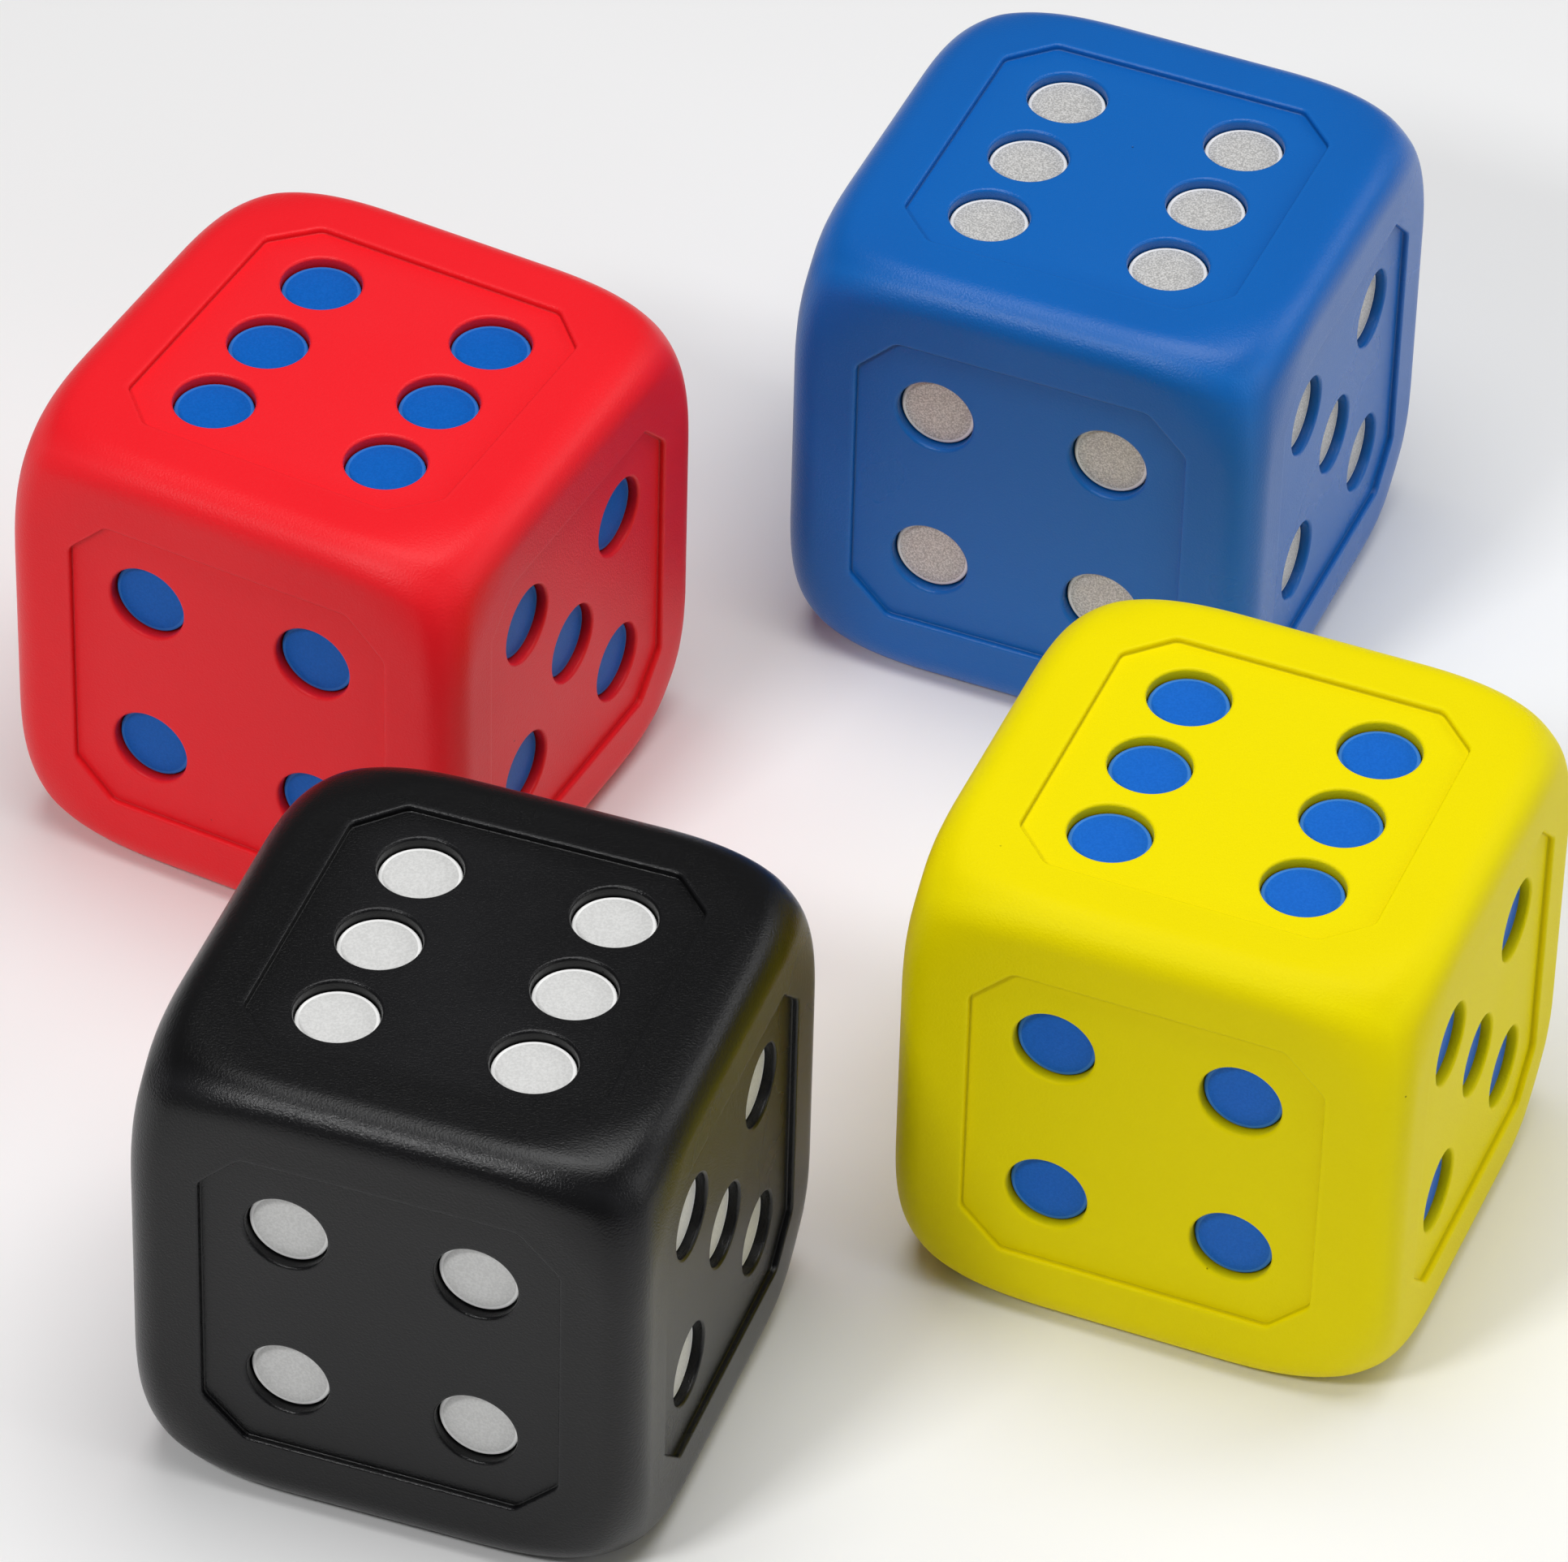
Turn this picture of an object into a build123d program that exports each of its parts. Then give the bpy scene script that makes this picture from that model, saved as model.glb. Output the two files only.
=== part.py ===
from build123d import *
import os
from math import sqrt

# A set of four giant lawn dice, 150 mm on a side, lying loose on the ground.
# Each die is a moulded coloured skin over a block of soft foam. Every face has a shallow
# eight-sided panel, and every pip is a disc set at the bottom of a round well in that panel.
# The origin is the middle of the set's footprint, on the ground. +Z is up.

# The skin, outside
SIDE = 150.0
EDGE_RADIUS = 11.0
CORNER_CUT = 15.3
BORDER = 23.0
PANEL_CHAMFER = 12.8
PANEL_DEPTH = 2.0
PANEL_LIP = 0.8

# The wells and their pips
PIP_RADIUS = 11.7
PIP_THICKNESS = 2.0
PIP_EDGE = 0.4
PIP_SINK = 3.2
WELL_CLEARANCE = 0.35
WELL_LIP = 0.9

# The skin, inside
SKIN_THICKNESS = 3.0

# Distance of the pips from the two middle lines of a face
PAIR_OFFSET = 27.4
QUINCUNX_OFFSET = 27.8
COLUMN_OFFSET = 28.3
ROW_PITCH = 31.2

# How the four dice lie on the ground: gaps between neighbours, and how far each is out of line
FRONT_GAP = 59.7
FRONT_STAGGER = 80.0
LEFT_GAP = 103.5
LEFT_STAGGER = -45.9
RIGHT_GAP = 123.6
RIGHT_STAGGER = -34.0
TURNS = {"black": -18.5, "yellow": -21.0, "red": -26.7, "blue": -21.7}

HALF = SIDE / 2
WELL_RADIUS = PIP_RADIUS + WELL_CLEARANCE
WELL_DEPTH = PANEL_DEPTH + PIP_SINK + PIP_THICKNESS

# Where the pips of each number stand on a face, as distances from its middle
ONE = [(0, 0)]
TWO = [(-PAIR_OFFSET, PAIR_OFFSET), (PAIR_OFFSET, -PAIR_OFFSET)]
THREE = ONE + TWO
FOUR = [(x, y) for x in (-PAIR_OFFSET, PAIR_OFFSET) for y in (-PAIR_OFFSET, PAIR_OFFSET)]
FIVE = ONE + [(x, y) for x in (-QUINCUNX_OFFSET, QUINCUNX_OFFSET) for y in (-QUINCUNX_OFFSET, QUINCUNX_OFFSET)]
SIX = [(x, row * ROW_PITCH) for x in (-COLUMN_OFFSET, COLUMN_OFFSET) for row in (-1, 0, 1)]

# Each face's plane, looking straight out of the die. Opposite faces add up to seven.
FACES = {
    "one": (Plane(origin=(0, 0, -HALF), x_dir=(1, 0, 0), z_dir=(0, 0, -1)), ONE),
    "two": (Plane(origin=(-HALF, 0, 0), x_dir=(0, -1, 0), z_dir=(-1, 0, 0)), TWO),
    "three": (Plane(origin=(0, HALF, 0), x_dir=(-1, 0, 0), z_dir=(0, 1, 0)), THREE),
    "four": (Plane(origin=(0, -HALF, 0), x_dir=(1, 0, 0), z_dir=(0, -1, 0)), FOUR),
    "five": (Plane(origin=(HALF, 0, 0), x_dir=(0, 1, 0), z_dir=(1, 0, 0)), FIVE),
    "six": (Plane(origin=(0, 0, HALF), x_dir=(1, 0, 0), z_dir=(0, 0, 1)), SIX),
}


def rounded_cube(inset):
    """The die's plain outer form, or the same form a given distance further in.

    It is a cube whose corners are cut back by a ball, with every edge then rounded."""
    corner_ball = HALF * sqrt(3) - CORNER_CUT - inset
    with BuildPart() as form:
        Box(SIDE - 2 * inset, SIDE - 2 * inset, SIDE - 2 * inset)
        Sphere(corner_ball, mode=Mode.INTERSECT)
        fillet(form.edges(), EDGE_RADIUS - inset)
    return form.part


def outward(face_plane):
    """The direction straight out of a face, to tell its outer edges from its inner ones."""
    return Axis(face_plane.origin, face_plane.z_dir)


def cut_panel(face_plane, margin):
    """Cut the eight-sided panel into one face of the part being built, wider by a margin."""
    panel_side = SIDE - 2 * BORDER + 2 * margin
    corner_leg = PANEL_CHAMFER + margin * (2 - sqrt(2))
    with BuildSketch(face_plane) as panel:
        Rectangle(panel_side, panel_side)
        chamfer(panel.vertices(), corner_leg)
    extrude(panel.sketch, amount=-(PANEL_DEPTH + margin), mode=Mode.SUBTRACT)


def cut_wells(face_plane, spots, margin):
    """Cut the round wells of one face into the part being built, wider by a margin."""
    with BuildSketch(face_plane) as wells:
        with Locations(*spots):
            Circle(WELL_RADIUS + margin)
    extrude(wells.sketch, amount=-(WELL_DEPTH + margin), mode=Mode.SUBTRACT)


# The foam block: it fills the skin, so it is the outer form one skin thickness further in,
# with room for the back of every panel and well.
with BuildPart() as core:
    add(rounded_cube(SKIN_THICKNESS))
    for face_plane, spots in FACES.values():
        cut_panel(face_plane, SKIN_THICKNESS)
        cut_wells(face_plane, spots, SKIN_THICKNESS)

# The skin: the outer form with its panels and wells, their rims eased, and the foam taken out.
with BuildPart() as skin:
    add(rounded_cube(0))
    for face_plane, spots in FACES.values():
        cut_panel(face_plane, 0)
        panel_rim = skin.edges(Select.LAST).group_by(outward(face_plane))[-1]
        fillet(panel_rim, PANEL_LIP)
        cut_wells(face_plane, spots, 0)
        well_rims = skin.edges(Select.LAST).group_by(outward(face_plane))[-1]
        fillet(well_rims, WELL_LIP)
    add(core.part, mode=Mode.SUBTRACT)

pieces = {"skin": skin.part, "core": core.part}

# The pips of each face: discs with an eased edge, standing on the bottom of their wells.
for number, (face_plane, spots) in FACES.items():
    with BuildPart() as pips:
        with BuildSketch(face_plane.offset(-WELL_DEPTH)):
            with Locations(*spots):
                Circle(PIP_RADIUS)
        extrude(amount=PIP_THICKNESS)
        pip_edges = pips.edges().group_by(outward(face_plane))[-1]
        fillet(pip_edges, PIP_EDGE)
    pieces["pips_" + number] = pips.part

# The four dice on the ground, each measured from its neighbours.
black = Vector(0, 0)
yellow = black + Vector(SIDE + FRONT_GAP, FRONT_STAGGER)
red = black + Vector(LEFT_STAGGER, SIDE + LEFT_GAP)
blue = yellow + Vector(RIGHT_STAGGER, SIDE + RIGHT_GAP)
middles = {"black": black, "yellow": yellow, "red": red, "blue": blue}


def standing(colour, shift):
    """Where one die stands: on the ground, turned, and moved sideways by a shift."""
    middle = middles[colour] + shift
    return Location((middle.X, middle.Y, HALF), (0, 0, TURNS[colour]))


with BuildPart() as footprint:
    for colour in middles:
        with Locations(standing(colour, Vector(0, 0))):
            add(rounded_cube(0))
to_origin = -footprint.part.bounding_box().center()

os.makedirs("parts", exist_ok=True)
for colour in middles:
    for name, piece in pieces.items():
        with BuildPart() as placed:
            with Locations(standing(colour, to_origin)):
                add(piece)
        placed.part.label = colour + "_" + name
        export_step(placed.part, "parts/" + placed.part.label + ".step")
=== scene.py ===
from math import cos, pi, radians, sin, sqrt

import bmesh
import bpy
from mathutils import Matrix, Vector


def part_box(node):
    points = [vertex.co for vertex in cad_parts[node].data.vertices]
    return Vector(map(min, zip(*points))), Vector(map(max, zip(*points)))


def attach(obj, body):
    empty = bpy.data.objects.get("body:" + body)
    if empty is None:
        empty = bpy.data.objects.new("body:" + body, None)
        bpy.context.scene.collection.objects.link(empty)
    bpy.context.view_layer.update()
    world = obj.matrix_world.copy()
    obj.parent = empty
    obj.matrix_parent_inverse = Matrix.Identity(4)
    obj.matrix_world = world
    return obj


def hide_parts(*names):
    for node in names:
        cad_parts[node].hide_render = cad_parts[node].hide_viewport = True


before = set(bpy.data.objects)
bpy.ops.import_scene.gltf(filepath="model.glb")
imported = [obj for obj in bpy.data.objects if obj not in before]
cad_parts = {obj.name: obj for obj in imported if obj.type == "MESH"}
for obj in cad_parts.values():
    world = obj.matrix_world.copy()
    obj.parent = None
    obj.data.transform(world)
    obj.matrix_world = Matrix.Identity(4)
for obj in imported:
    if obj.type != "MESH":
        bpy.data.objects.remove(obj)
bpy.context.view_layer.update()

# ---- The skins ---------------------------------------------------------------------------
# Each die is a block of soft foam in a moulded coloured skin. The mould leaves fat rounded
# edges, corners cut back further than the edges, a shallow eight-sided panel on every face
# and a round well for each pip. All four dice come out of one mould.

side = 0.150
edge_radius = 0.011
corner_cut = 0.0153
corner_blend = 0.010
border = 0.023
panel_chamfer = 0.0128
panel_corner_round = 0.0016
panel_depth = 0.0020
panel_lip = 0.0008
panel_foot = 0.0004
well_radius = 0.01205
well_depth = 0.0052
well_lip = 0.0010
well_foot = 0.0003
# How strongly painted shade darkens the walls of the panel steps and of the wells.
panel_shade = 0.35
well_shade = 1.0
skin_cuts = 84
edge_wear = 3
lip_wear = 0.45
rim_wear = 0.5
opening_margin = 2.5
well_steps = 72
lip_steps = 4
flush = 1e-5

half = side / 2
panel_floor = half - panel_depth
well_floor = panel_floor - well_depth

pair, quincunx, column, row = 0.0274, 0.0278, 0.0283, 0.0312
one = [(0, 0)]
two = [(-pair, pair), (pair, -pair)]
four = [(x, y) for x in (-pair, pair) for y in (-pair, pair)]
five = one + [(x, y) for x in (-quincunx, quincunx) for y in (-quincunx, quincunx)]
six = [(x, step * row) for x in (-column, column) for step in (-1, 0, 1)]


def facing(right, out):
    """The turn that takes a face drawn flat, seen from +Z, to its side of the die."""
    right, out = Vector(right), Vector(out)
    return Matrix((right, out.cross(right), out)).transposed().to_4x4()


faces = {
    "one": (facing((1, 0, 0), (0, 0, -1)), one),
    "two": (facing((0, -1, 0), (-1, 0, 0)), two),
    "three": (facing((-1, 0, 0), (0, 1, 0)), one + two),
    "four": (facing((1, 0, 0), (0, -1, 0)), four),
    "five": (facing((0, 1, 0), (1, 0, 0)), five),
    "six": (facing((1, 0, 0), (0, 0, 1)), six),
}


def moulded_form(die, wear_and_rim_highlight):
    """The die's outer form, with an opening in each flat face for its panel.

    A finely divided cube has its edges rounded, and its corners drawn in to a ball."""
    bmesh.ops.create_cube(die, size=side)
    bmesh.ops.subdivide_edges(die, edges=die.edges[:], cuts=skin_cuts, use_grid_fill=True)
    flat = half - edge_radius
    ball = half * sqrt(3) - corner_cut
    for vert in die.verts:
        inner = Vector([max(-flat, min(flat, value)) for value in vert.co])
        slope = (vert.co - inner).normalized()
        place = inner + slope * edge_radius
        reach = place.length
        meet = max(corner_blend - abs(reach - ball), 0) / corner_blend
        drawn_in = min(reach, ball) - meet * meet * corner_blend / 4
        vert.co = place * (drawn_in / reach)
        vert[wear_and_rim_highlight] = min(1, edge_wear * (1 - max(abs(value) for value in slope)))
    opening = half - border + opening_margin * panel_lip
    across = 2 * opening - panel_chamfer
    inside = []
    for face in die.faces:
        lowest, middle = sorted(abs(value) for value in face.calc_center_median())[:2]
        if middle < opening and lowest + middle < across:
            inside.append(face)
    bmesh.ops.delete(die, geom=inside, context="FACES")


def quarter_round(inward, down, radius, hollow):
    """Inward and downward places round a small eased edge, or round the hollow at its foot."""
    places = []
    for step in range(lip_steps + 1):
        angle = pi / 2 * step / lip_steps
        if hollow:
            places.append((inward + radius * (1 - cos(angle)), down + radius * sin(angle)))
        else:
            places.append((inward + radius * sin(angle), down + radius * (1 - cos(angle))))
    return places


def sink(die, face, lip, foot, depth, shade):
    """Press a flat face down into the skin, with an eased lip and a small hollow at its foot.

    The shade is how strongly painted shade darkens the wall and the hollow below the lip, against the
    skin round it."""
    wear_and_rim_highlight, recess_painted_shade = die.verts.layers.float["wear_and_rim_highlight"], die.verts.layers.float["recess_painted_shade"]
    profile = quarter_round(0, 0, lip, False)
    profile += quarter_round(lip, depth - foot, foot, True)
    for vert in face.verts:
        vert[wear_and_rim_highlight] = rim_wear
    for (inward, down), (next_inward, next_down) in zip(profile, profile[1:]):
        bmesh.ops.inset_individual(
            die, faces=[face], thickness=max(next_inward - inward, 1e-6),
            depth=down - next_down, use_even_offset=True,
        )
        # The lip takes wear; the wall and the hollow below it take painted shade.
        for vert in face.verts:
            vert[wear_and_rim_highlight] = lip_wear if next_down < lip else 0.0
            vert[recess_painted_shade] = shade if next_down >= lip else 0.0


def panel(spots):
    """One face's panel and wells, drawn flat at the top of the die."""
    face_mesh = bmesh.new()
    face_mesh.verts.layers.float.new("wear_and_rim_highlight")
    recess_painted_shade = face_mesh.verts.layers.float.new("recess_painted_shade")
    bmesh.ops.create_grid(face_mesh, x_segments=1, y_segments=1, size=half - border + panel_lip)
    for cut, segments in ((panel_chamfer, 1), (panel_corner_round, 3)):
        bmesh.ops.bevel(
            face_mesh, geom=face_mesh.verts[:], offset=cut, segments=segments, profile=0.5,
            affect="VERTICES", material=-1,
        )
        eight = max(face_mesh.faces, key=lambda face: face.calc_area())
    bmesh.ops.translate(face_mesh, verts=face_mesh.verts[:], vec=(0, 0, half))
    sink(face_mesh, eight, panel_lip, panel_foot, panel_depth, panel_shade)
    # The floor of the panel takes no painted shade.
    for vert in eight.verts:
        vert[recess_painted_shade] = 0.0
    bmesh.ops.delete(face_mesh, geom=[eight], context="FACES_ONLY")
    for x, y in spots:
        mouth = bmesh.ops.create_circle(
            face_mesh, cap_ends=True, segments=well_steps, radius=well_radius + well_lip,
            matrix=Matrix.Translation((x, y, panel_floor)),
        )
        disc = mouth["verts"][0].link_faces[0]
        disc.normal_update()
        if disc.normal.z < 0:
            disc.normal_flip()
        sink(face_mesh, disc, well_lip, well_foot, well_depth, well_shade)
    open_edges = [
        edge
        for edge in face_mesh.edges
        if edge.is_boundary and all(abs(vert.co.z - panel_floor) < flush for vert in edge.verts)
    ]
    bmesh.ops.triangle_fill(face_mesh, use_beauty=True, edges=open_edges, normal=(0, 0, 1))
    return face_mesh


def die_skin():
    """The whole skin of a die about its own middle, as one closed mesh."""
    die = bmesh.new()
    wear_and_rim_highlight = die.verts.layers.float.new("wear_and_rim_highlight")
    die.verts.layers.float.new("recess_painted_shade")
    moulded_form(die, wear_and_rim_highlight)
    for turn, spots in faces.values():
        face_mesh = panel(spots)
        bmesh.ops.transform(face_mesh, matrix=turn, verts=face_mesh.verts[:])
        turned_panel = bpy.data.meshes.new("panel")
        face_mesh.to_mesh(turned_panel)
        face_mesh.free()
        die.from_mesh(turned_panel)
        bpy.data.meshes.remove(turned_panel)
        out = turn.to_3x3() @ Vector((0, 0, 1))
        flat_ring = [
            edge
            for edge in die.edges
            if edge.is_boundary and all(vert.co.dot(out) > half - panel_depth / 2 for vert in edge.verts)
        ]
        bmesh.ops.triangle_fill(die, use_beauty=True, edges=flat_ring, normal=out)
    bmesh.ops.remove_doubles(die, verts=die.verts[:], dist=flush / 10)
    bmesh.ops.recalc_face_normals(die, faces=die.faces[:])
    for face in die.faces:
        face.smooth = True
    return die


def finished_piece(name, drawn, place):
    """A new object with its place worked into its mesh, shaded by its larger faces."""
    shape = drawn.copy()
    bmesh.ops.transform(shape, matrix=place, verts=shape.verts[:])
    mesh = bpy.data.meshes.new(name)
    shape.to_mesh(mesh)
    shape.free()
    piece = bpy.data.objects.new(name, mesh)
    bpy.context.scene.collection.objects.link(piece)
    lean = piece.modifiers.new("lean on large faces", "WEIGHTED_NORMAL")
    lean.mode = "FACE_AREA"
    lean.weight = 60
    return piece


turned = {"black": -18.5, "yellow": -21.0, "red": -26.7, "blue": -21.7}


def standing(colour):
    """Where a die stands: in the middle of its CAD skin, and turned as it lies."""
    low, high = (Vector(corner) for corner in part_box(colour + "_skin"))
    return Matrix.Translation((low + high) / 2) @ Matrix.Rotation(radians(turned[colour]), 4, "Z")


def grain_group():
    """Fine moulded grain, with small pinholes, for every skin and pip."""
    group = bpy.data.node_groups.new("moulded grain", "ShaderNodeTree")
    face = group.interface
    face.new_socket("Vector", in_out="INPUT", socket_type="NodeSocketVector")
    face.new_socket("Grain Size", in_out="INPUT", socket_type="NodeSocketFloat")
    face.new_socket("Pinholes", in_out="INPUT", socket_type="NodeSocketFloat")
    face.new_socket("Height", in_out="OUTPUT", socket_type="NodeSocketFloat")
    face.new_socket("Pits", in_out="OUTPUT", socket_type="NodeSocketFloat")
    face.new_socket("Cloud", in_out="OUTPUT", socket_type="NodeSocketFloat")
    nodes, links = group.nodes, group.links
    given = nodes.new("NodeGroupInput")
    result = nodes.new("NodeGroupOutput")

    pebble = nodes.new("ShaderNodeTexNoise")
    pebble.inputs["Detail"].default_value = 3
    pebble.inputs["Roughness"].default_value = 0.6
    links.new(given.outputs["Vector"], pebble.inputs["Vector"])
    links.new(given.outputs["Grain Size"], pebble.inputs["Scale"])

    holes = nodes.new("ShaderNodeTexVoronoi")
    holes.inputs["Scale"].default_value = 260
    links.new(given.outputs["Vector"], holes.inputs["Vector"])
    small = nodes.new("ShaderNodeMapRange")
    small.inputs["From Min"].default_value = 0.11
    small.inputs["From Max"].default_value = 0.04
    links.new(holes.outputs["Distance"], small.inputs["Value"])
    apart = nodes.new("ShaderNodeSeparateColor")
    links.new(holes.outputs["Color"], apart.inputs["Color"])
    few = nodes.new("ShaderNodeMath")
    few.operation = "LESS_THAN"
    links.new(apart.outputs["Red"], few.inputs[0])
    links.new(given.outputs["Pinholes"], few.inputs[1])
    pits = nodes.new("ShaderNodeMath")
    pits.operation = "MULTIPLY"
    links.new(small.outputs["Result"], pits.inputs[0])
    links.new(few.outputs["Value"], pits.inputs[1])

    height = nodes.new("ShaderNodeMath")
    height.operation = "SUBTRACT"
    links.new(pebble.outputs["Fac"], height.inputs[0])
    links.new(pits.outputs["Value"], height.inputs[1])

    cloud = nodes.new("ShaderNodeTexNoise")
    cloud.inputs["Scale"].default_value = 14
    cloud.inputs["Detail"].default_value = 4
    links.new(given.outputs["Vector"], cloud.inputs["Vector"])

    links.new(height.outputs["Value"], result.inputs["Height"])
    links.new(pits.outputs["Value"], result.inputs["Pits"])
    links.new(cloud.outputs["Fac"], result.inputs["Cloud"])
    return group


moulded_grain = grain_group()


def blend(nodes, links, amount, first, second):
    """A colour mix: amount is an output that runs from 0, the first colour, to 1, the second."""
    mix = nodes.new("ShaderNodeMix")
    mix.data_type = "RGBA"
    links.new(amount, mix.inputs["Factor"])
    for socket, colour in ((mix.inputs[6], first), (mix.inputs[7], second)):
        if isinstance(colour, bpy.types.NodeSocket):
            links.new(colour, socket)
        else:
            socket.default_value = (*colour, 1)
    return mix.outputs[2]


def spread(nodes, links, value, low, high, to_low, to_high):
    """One run of values turned into another."""
    ranged = nodes.new("ShaderNodeMapRange")
    ranged.inputs["From Min"].default_value = low
    ranged.inputs["From Max"].default_value = high
    ranged.inputs["To Min"].default_value = to_low
    ranged.inputs["To Max"].default_value = to_high
    links.new(value, ranged.inputs["Value"])
    return ranged.outputs["Result"]


skin_grain_size = 1500
skin_pinholes = 0.008
# How dark the painted shade in each pinhole is, as a part of the deep colour.
pinhole_painted_shade_darkness = 0.35
# How dark the painted shade on the recess walls is, as a part of the deep colour.
recess_painted_shade_darkness = 0.28


def skin_material(colour, body, pale, deep, rough, gloss, sheen, seed):
    """A satin moulded skin: clouded colour, paler scuffed edges, painted shade in the pinholes and
    painted shade on the walls of the panel steps and wells.
    """
    material = bpy.data.materials.new(colour + " moulded skin")
    material.use_nodes = True
    nodes, links = material.node_tree.nodes, material.node_tree.links
    shader = nodes["Principled BSDF"]
    where = nodes.new("ShaderNodeTexCoord")
    shifted = nodes.new("ShaderNodeMapping")
    shifted.inputs["Location"].default_value = (seed, seed * 0.7, 0)
    links.new(where.outputs["Object"], shifted.inputs["Vector"])
    grain = nodes.new("ShaderNodeGroup")
    grain.node_tree = moulded_grain
    grain.inputs["Grain Size"].default_value = skin_grain_size
    grain.inputs["Pinholes"].default_value = skin_pinholes
    links.new(shifted.outputs["Vector"], grain.inputs["Vector"])

    clouds = spread(nodes, links, grain.outputs["Cloud"], 0.3, 0.7, 0, 1)
    clouded = blend(nodes, links, clouds, body, deep)
    wear_and_rim_highlight_node = nodes.new("ShaderNodeAttribute")
    wear_and_rim_highlight_node.attribute_name = "wear_and_rim_highlight"
    wear = nodes.new("ShaderNodeMath")
    wear.operation = "MULTIPLY"
    links.new(wear_and_rim_highlight_node.outputs["Fac"], wear.inputs[0])
    links.new(spread(nodes, links, grain.outputs["Cloud"], 0.35, 0.65, 0.25, 0.75), wear.inputs[1])
    worn_colour = blend(nodes, links, wear.outputs["Value"], clouded, pale)
    # Each pinhole is painted darker, as painted shade in the pit.
    pinhole_painted_shade_colour = [value * pinhole_painted_shade_darkness for value in deep]
    pinhole_shaded = blend(nodes, links, grain.outputs["Pits"], worn_colour, pinhole_painted_shade_colour)
    # Painted shade on the walls of the panel steps and wells, darker than the skin round them.
    recess_painted_shade = nodes.new("ShaderNodeAttribute")
    recess_painted_shade.attribute_name = "recess_painted_shade"
    recess_painted_shade_colour = [value * recess_painted_shade_darkness for value in deep]
    recess_shaded = blend(nodes, links, recess_painted_shade.outputs["Fac"], pinhole_shaded, recess_painted_shade_colour)
    links.new(recess_shaded, shader.inputs["Base Color"])

    links.new(
        spread(nodes, links, grain.outputs["Cloud"], 0.3, 0.7, rough - 0.04, rough + 0.05),
        shader.inputs["Roughness"],
    )
    bump = nodes.new("ShaderNodeBump")
    bump.inputs["Strength"].default_value = 0.55
    bump.inputs["Distance"].default_value = 0.00028
    links.new(grain.outputs["Height"], bump.inputs["Height"])
    links.new(bump.outputs["Normal"], shader.inputs["Normal"])
    shader.inputs["Sheen Weight"].default_value = sheen
    shader.inputs["Sheen Roughness"].default_value = 0.2
    shader.inputs["Specular IOR Level"].default_value = gloss
    return material


skin_finishes = {
    "black": dict(
        body=(0.0030, 0.0030, 0.0034), pale=(0.014, 0.014, 0.016), deep=(0.0024, 0.0024, 0.0028),
        rough=0.25, gloss=0.30, sheen=0.05, seed=0.0,
    ),
    "yellow": dict(
        body=(0.86, 0.73, 0.0), pale=(0.90, 0.78, 0.0), deep=(0.83, 0.70, 0.0),
        rough=0.44, gloss=0.06, sheen=0.0, seed=1.3,
    ),
    "red": dict(
        body=(0.90, 0.014, 0.022), pale=(0.95, 0.026, 0.036), deep=(0.86, 0.010, 0.018),
        rough=0.36, gloss=0.20, sheen=0.0, seed=2.9,
    ),
    "blue": dict(
        body=(0.003, 0.125, 0.48), pale=(0.006, 0.150, 0.55), deep=(0.002, 0.112, 0.44),
        rough=0.29, gloss=0.32, sheen=0.0, seed=4.1,
    ),
}

one_skin = die_skin()
for colour, finish in skin_finishes.items():
    skin = finished_piece(colour + "_moulded_skin", one_skin, standing(colour))
    skin.data.materials.append(skin_material(colour, **finish))
    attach(skin, colour + "_die")
    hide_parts(colour + "_skin")


# ---- The pips ----------------------------------------------------------------------------
# Each pip is a round disc glued to the bottom of its well. The black die's are white, the
# blue die's a grainy silver, and the red and yellow dice have blue ones.

pip_radius = 0.0117
pip_thickness = 0.0020
pip_edge = 0.0005
pip_rim = 0.0010
pip_rim_fade = 0.0003
pip_crown = 0.00012
crown_rings = (0.0030, 0.0030, 0.0025)
pip_steps = 64


def pip_discs(turn, spots):
    """The discs of one face: each a low drum with an eased edge, an outer ring for a painted highlight
    and a slight crown.
    """
    discs = bmesh.new()
    wear_and_rim_highlight = discs.verts.layers.float.new("wear_and_rim_highlight")
    for x, y in spots:
        drum = bmesh.ops.create_cone(
            discs, cap_ends=True, segments=pip_steps, radius1=pip_radius, radius2=pip_radius,
            depth=pip_thickness,
            matrix=Matrix.Translation((x, y, well_floor + pip_thickness / 2)),
        )
        top = [vert for vert in drum["verts"] if vert.co.z > well_floor + pip_thickness / 2]
        lid = next(face for face in top[0].link_faces if all(vert in top for vert in face.verts))
        bmesh.ops.bevel(
            discs, geom=lid.edges[:], offset=pip_edge, segments=4, profile=0.5,
            affect="EDGES", material=-1,
        )
        middle = Vector((x, y, well_floor + pip_thickness))
        lid = min(
            (face for face in discs.faces if len(face.verts) == pip_steps),
            key=lambda face: (face.calc_center_median() - middle).length,
        )
        for inward in (pip_rim - pip_edge, pip_rim_fade, *crown_rings):
            bmesh.ops.inset_individual(
                discs, faces=[lid], thickness=inward, depth=pip_crown / 5, use_even_offset=True
            )
        # The outer ring of each pip's top is marked for the painted highlight.
        for vert in discs.verts:
            across = (vert.co - middle).to_2d().length
            if across < pip_radius + flush and vert.co.z > middle.z - pip_edge - flush:
                vert[wear_and_rim_highlight] = 1.0 if across > pip_radius - pip_rim - pip_rim_fade / 2 else 0.0
    bmesh.ops.recalc_face_normals(discs, faces=discs.faces[:])
    for face in discs.faces:
        face.smooth = True
    bmesh.ops.transform(discs, matrix=turn, verts=discs.verts[:])
    return discs


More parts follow.
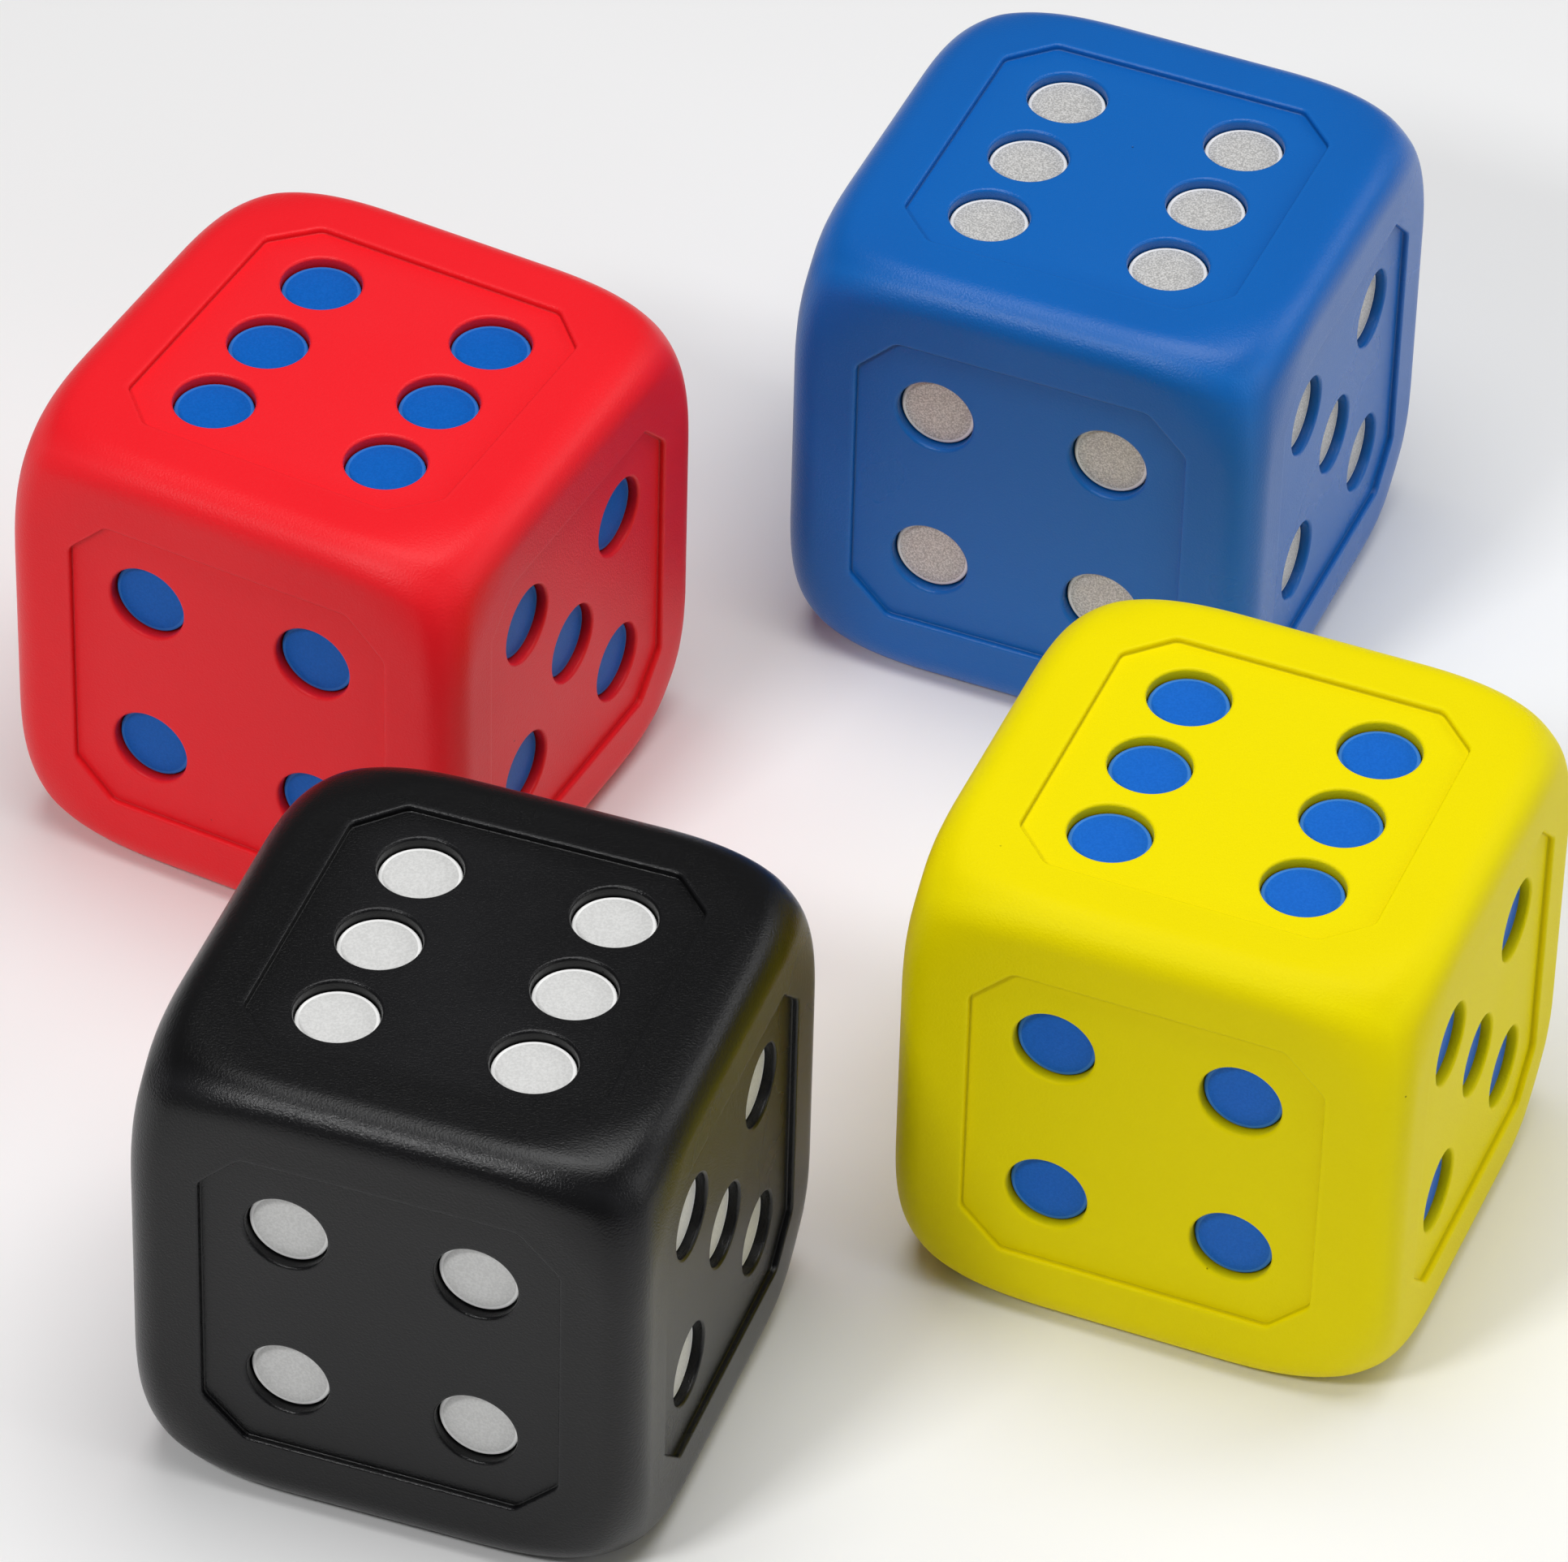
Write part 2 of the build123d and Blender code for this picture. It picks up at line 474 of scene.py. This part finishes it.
def pip_material(colour, body, pale, rim_highlight, grain_size, rough, metal, gloss, seed):
    """A painted pip: grainy colour, a painted highlight in a paler outer ring, and a fine pebbled
    surface.
    """
    material = bpy.data.materials.new(colour + " pips")
    material.use_nodes = True
    nodes, links = material.node_tree.nodes, material.node_tree.links
    shader = nodes["Principled BSDF"]
    where = nodes.new("ShaderNodeTexCoord")
    shifted = nodes.new("ShaderNodeMapping")
    shifted.inputs["Location"].default_value = (seed, seed * 0.4, 0)
    links.new(where.outputs["Object"], shifted.inputs["Vector"])
    grain = nodes.new("ShaderNodeGroup")
    grain.node_tree = moulded_grain
    grain.inputs["Grain Size"].default_value = grain_size
    grain.inputs["Pinholes"].default_value = 0.02
    links.new(shifted.outputs["Vector"], grain.inputs["Vector"])
    speckled = blend(
        nodes, links, spread(nodes, links, grain.outputs["Height"], 0.4, 0.62, 0, 1), body, pale
    )
    wear_and_rim_highlight_node = nodes.new("ShaderNodeAttribute")
    wear_and_rim_highlight_node.attribute_name = "wear_and_rim_highlight"
    # Painted highlight: the outer ring of each pip takes the paler edge colour.
    rim_highlighted = blend(nodes, links, wear_and_rim_highlight_node.outputs["Fac"], speckled, rim_highlight)
    links.new(rim_highlighted, shader.inputs["Base Color"])
    links.new(
        spread(nodes, links, grain.outputs["Cloud"], 0.3, 0.7, rough - 0.05, rough + 0.05),
        shader.inputs["Roughness"],
    )
    shader.inputs["Metallic"].default_value = metal
    shader.inputs["Specular IOR Level"].default_value = gloss
    bump = nodes.new("ShaderNodeBump")
    bump.inputs["Strength"].default_value = 0.4
    bump.inputs["Distance"].default_value = 0.0002
    links.new(grain.outputs["Height"], bump.inputs["Height"])
    links.new(bump.outputs["Normal"], shader.inputs["Normal"])
    return material


# The third colour of each set is the painted highlight round each pip's edge.
pip_finishes = {
    "black": dict(
        body=(0.59, 0.59, 0.58), pale=(0.68, 0.68, 0.67), rim_highlight=(0.93, 0.93, 0.92),
        grain_size=1300, rough=0.55, metal=0.0, gloss=0.3, seed=0.6,
    ),
    "yellow": dict(
        body=(0.005, 0.120, 0.54), pale=(0.008, 0.138, 0.60), rim_highlight=(0.05, 0.22, 0.66),
        grain_size=1500, rough=0.42, metal=0.0, gloss=0.15, seed=1.7,
    ),
    "red": dict(
        body=(0.001, 0.105, 0.46), pale=(0.003, 0.122, 0.52), rim_highlight=(0.03, 0.18, 0.60),
        grain_size=1500, rough=0.42, metal=0.0, gloss=0.15, seed=3.2,
    ),
    "blue": dict(
        body=(0.40, 0.395, 0.385), pale=(0.73, 0.72, 0.70), rim_highlight=(0.94, 0.93, 0.91),
        grain_size=1900, rough=0.44, metal=0.08, gloss=0.4, seed=5.5,
    ),
}

one_set = {number: pip_discs(turn, spots) for number, (turn, spots) in faces.items()}
for colour, finish in pip_finishes.items():
    paint = pip_material(colour, **finish)
    for number, discs in one_set.items():
        pips = finished_piece(colour + "_painted_pips_" + number, discs, standing(colour))
        pips.data.materials.append(paint)
        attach(pips, colour + "_die")
        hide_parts(colour + "_pips_" + number)


# ---- The foam cores ----------------------------------------------------------------------
# Inside each skin is one block of soft open-cell foam, cast in place. It is the CAD piece
# itself, with a foam finish.

foam = bpy.data.materials.new("open cell foam")
foam.use_nodes = True
foam_nodes, foam_links = foam.node_tree.nodes, foam.node_tree.links
foam_where = foam_nodes.new("ShaderNodeTexCoord")
foam_cells = foam_nodes.new("ShaderNodeTexVoronoi")
foam_cells.inputs["Scale"].default_value = 900
foam_links.new(foam_where.outputs["Object"], foam_cells.inputs["Vector"])
foam_tone = blend(
    foam_nodes, foam_links, foam_cells.outputs["Distance"], (0.50, 0.46, 0.36), (0.80, 0.77, 0.66)
)
foam_links.new(foam_tone, foam_nodes["Principled BSDF"].inputs["Base Color"])
foam_nodes["Principled BSDF"].inputs["Roughness"].default_value = 0.95
foam_bump = foam_nodes.new("ShaderNodeBump")
foam_bump.inputs["Distance"].default_value = 0.0006
foam_links.new(foam_cells.outputs["Distance"], foam_bump.inputs["Height"])
foam_links.new(foam_bump.outputs["Normal"], foam_nodes["Principled BSDF"].inputs["Normal"])
for colour in skin_finishes:
    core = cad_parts[colour + "_core"]
    for slot in core.material_slots:
        slot.material = foam


# ---- The floor, the light and the camera -------------------------------------------------
# A plain pale floor, soft lights overhead, at the front left and on the right, and a long
# lens from in front.

floor_size = 12.0
floor_mesh = bmesh.new()
bmesh.ops.create_grid(floor_mesh, x_segments=1, y_segments=1, size=floor_size)
floor_data = bpy.data.meshes.new("floor")
floor_mesh.to_mesh(floor_data)
floor_mesh.free()
floor = bpy.data.objects.new("floor", floor_data)
bpy.context.scene.collection.objects.link(floor)
floor_paint = bpy.data.materials.new("pale floor")
floor_paint.use_nodes = True
floor_shader = floor_paint.node_tree.nodes["Principled BSDF"]
floor_shader.inputs["Base Color"].default_value = (0.93, 0.93, 0.93, 1)
floor_shader.inputs["Roughness"].default_value = 0.9
floor.data.materials.append(floor_paint)

sky = bpy.data.worlds.new("studio")
sky.use_nodes = True
sky.node_tree.nodes["Background"].inputs["Color"].default_value = (1, 1, 1, 1)
sky.node_tree.nodes["Background"].inputs["Strength"].default_value = 0.13
bpy.context.scene.world = sky
bpy.context.scene.view_settings.view_transform = "Standard"


def soft_box(name, place, aim, width, height, power):
    """A rectangular studio light at a place, turned towards what it lights."""
    lamp = bpy.data.lights.new(name, "AREA")
    lamp.shape = "RECTANGLE"
    lamp.size = width
    lamp.size_y = height
    lamp.energy = power
    box = bpy.data.objects.new(name, lamp)
    box.location = place
    box.rotation_euler = (Vector(aim) - Vector(place)).to_track_quat("-Z", "Y").to_euler()
    bpy.context.scene.collection.objects.link(box)


soft_box("overhead", (0.1, 0.0, 2.1), (0, 0, 0), 1.5, 1.5, 29)
soft_box("front left", (-1.0, -1.20, 1.60), (0, 0, 0.08), 0.4, 0.28, 15)
soft_box("right front", (2.0, -0.7, 0.9), (0, 0, 0.05), 1.0, 0.8, 6)
soft_box("right rear", (1.8, 0.9, 1.3), (0, 0, 0.05), 1.0, 0.8, 7)

view_distance_back = 2.2977
view_height = 2.0665
view_sideways = 0.0016
look_down = radians(41.109)
camera_roll = radians(1.581)
lens_length = 242.2

camera_data = bpy.data.cameras.new("camera")
camera_data.sensor_width = 36
camera_data.lens = lens_length
camera_data.clip_end = 100
camera = bpy.data.objects.new("camera", camera_data)
bpy.context.scene.collection.objects.link(camera)
level_right = Vector((1, 0, 0))
level_up = Vector((0, sin(look_down), cos(look_down)))
right = level_right * cos(camera_roll) + level_up * sin(camera_roll)
up = level_up * cos(camera_roll) - level_right * sin(camera_roll)
turn = Matrix((right, up, right.cross(up))).transposed().to_4x4()
camera.matrix_world = Matrix.Translation((view_sideways, -view_distance_back, view_height)) @ turn
bpy.context.scene.camera = camera
